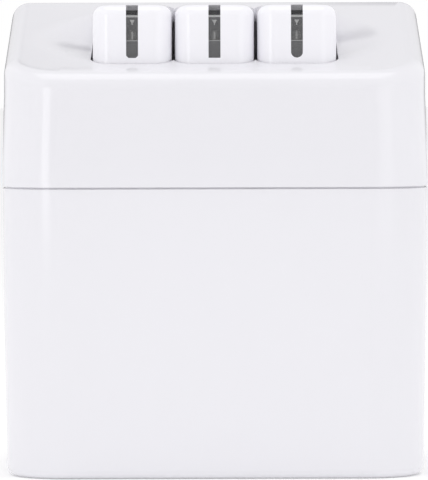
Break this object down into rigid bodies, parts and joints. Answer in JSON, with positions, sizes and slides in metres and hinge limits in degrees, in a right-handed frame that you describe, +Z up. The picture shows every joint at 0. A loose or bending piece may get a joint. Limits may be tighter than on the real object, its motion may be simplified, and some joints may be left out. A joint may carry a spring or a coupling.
{
  "type": "usb wall charger",
  "caption": "Upright mains charger block with lit push keys on a sloped top, USB-C sockets underneath and a folding blade plug at the back.",
  "frame": {"origin": "middle of the standing face", "axes": "+Z up, +Y from the front to the wall side, +X to the right seen from the front"},
  "size_m": [0.0652, 0.042, 0.0724],
  "materials": {
    "shell_white": "polished moulded plastic, cool white",
    "cover_white": "polished moulded plastic, cool white",
    "key_white": "polished moulded plastic, cool white",
    "window_smoke": "smoked clear plastic",
    "lamp_glass": "clear glass",
    "holder_dark": "dark moulded plastic",
    "plate_grey": "fine matt plastic",
    "cup_white": "moulded plastic",
    "barrel_white": "moulded plastic",
    "guide_white": "moulded plastic",
    "plunger_grey": "moulded plastic",
    "part_black": "moulded epoxy",
    "board_green": "solder mask over glass-fibre board",
    "ferrite": "sintered ferrite",
    "tape_yellow": "polyester tape",
    "can_blue": "shrink sleeve",
    "can_green": "shrink sleeve",
    "disc_blue": "dipped ceramic",
    "ceramic_tan": "ceramic tube",
    "sheet_ivory": "fish paper",
    "ribbon_grey": "flat cable",
    "lead_red": "insulated lead",
    "copper": "enamelled copper wire",
    "brass": "plated brass",
    "nickel": "nickel plate",
    "steel": "zinc-plated steel",
    "spring_steel": "spring steel",
    "aluminium": "plain sheet"
  },
  "bodies": {
    "root": {"body_shell": "shell_white", "top_cover": "cover_white", "port_plate": "plate_grey", "casing_screws": "steel", "key_spring_left": "spring_steel", "key_spring_centre": "spring_steel", "key_spring_right": "spring_steel", "switch_left": "part_black", "switch_centre": "part_black", "switch_right": "part_black", "key_guide": "guide_white", "switch_board": "board_green", "guide_screws": "steel", "main_board": "board_green", "transformer_core": "ferrite", "transformer_winding": "tape_yellow", "bulk_capacitors": "can_blue", "bridge_rectifier": "part_black", "fuse": "ceramic_tan", "mains_filter_capacitor": "tape_yellow", "filter_choke": "copper", "safety_capacitor": "disc_blue", "power_transistor": "part_black", "heat_sink": "aluminium", "output_capacitors": "can_green", "optocoupler": "part_black", "insulating_sheet": "sheet_ivory", "ribbon_cable": "ribbon_grey", "link_pins": "brass", "usb_board": "board_green", "usb_board_screws": "steel", "port_shell_left": "nickel", "port_shell_centre": "nickel", "port_shell_right": "nickel", "port_tongue_left": "part_black", "port_tongue_centre": "part_black", "port_tongue_right": "part_black", "plug_cup": "cup_white", "contact_springs": "brass", "mains_leads": "lead_red", "detent_spring": "spring_steel"},
    "key_left": {"key_left": "key_white", "window_left": "window_smoke", "lamp_left": "lamp_glass", "lamp_holder_left": "holder_dark", "plunger_left": "plunger_grey"},
    "key_centre": {"key_centre": "key_white", "window_centre": "window_smoke", "lamp_centre": "lamp_glass", "lamp_holder_centre": "holder_dark", "plunger_centre": "plunger_grey"},
    "key_right": {"key_right": "key_white", "window_right": "window_smoke", "lamp_right": "lamp_glass", "lamp_holder_right": "holder_dark", "plunger_right": "plunger_grey"},
    "plug": {"plug_barrel": "barrel_white", "blade_left": "nickel", "blade_right": "nickel"}
  },
  "joints": [
    {"name": "press_left", "type": "slide", "parent": "root", "child": "key_left", "axis": [0, 0, -1], "range_m": [0, 0.0015], "stiffness_N_per_m": 300, "springref_m": -0.002, "deforming": ["key_spring_left"]},
    {"name": "press_centre", "type": "slide", "parent": "root", "child": "key_centre", "axis": [0, 0, -1], "range_m": [0, 0.0015], "stiffness_N_per_m": 300, "springref_m": -0.002, "deforming": ["key_spring_centre"]},
    {"name": "press_right", "type": "slide", "parent": "root", "child": "key_right", "axis": [0, 0, -1], "range_m": [0, 0.0015], "stiffness_N_per_m": 300, "springref_m": -0.002, "deforming": ["key_spring_right"]},
    {"name": "plug_fold", "type": "hinge", "parent": "root", "child": "plug", "pos_m": [0, 0.0164, 0.034], "axis": [1, 0, 0], "range_deg": [0, 90]}
  ]
}
